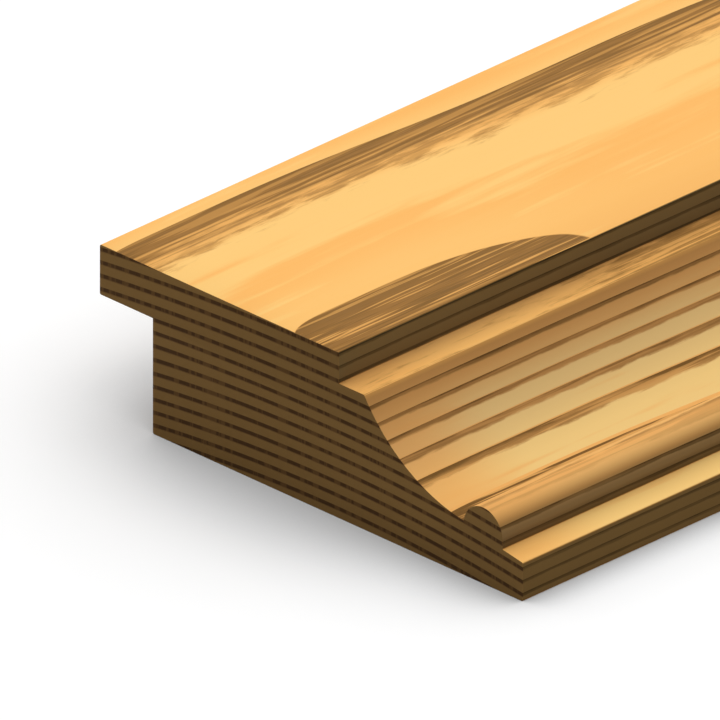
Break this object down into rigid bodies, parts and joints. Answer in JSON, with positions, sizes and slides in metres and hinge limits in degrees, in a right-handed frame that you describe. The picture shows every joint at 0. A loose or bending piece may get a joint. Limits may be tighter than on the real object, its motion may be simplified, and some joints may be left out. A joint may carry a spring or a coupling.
{
  "type": "chair rail moulding",
  "caption": "Wooden wall rail with a flat face, a lip over a panel rebate along its back edge, and a nosing, fillet, cove, bead and toe along its front edge.",
  "frame": {"origin": "middle of the rail's length and of its overall width, on the plane of its flat back", "axes": "+X along the length, +Y towards the lip and its rebate, with the moulded edge towards -Y, +Z from the flat back towards the face"},
  "size_m": [2.4384, 0.0614, 0.0191],
  "materials": {
    "wood": "planed and sanded softwood with a thin clear finish, satin"
  },
  "bodies": {
    "root": {"chair_rail": "wood"}
  },
  "joints": []
}
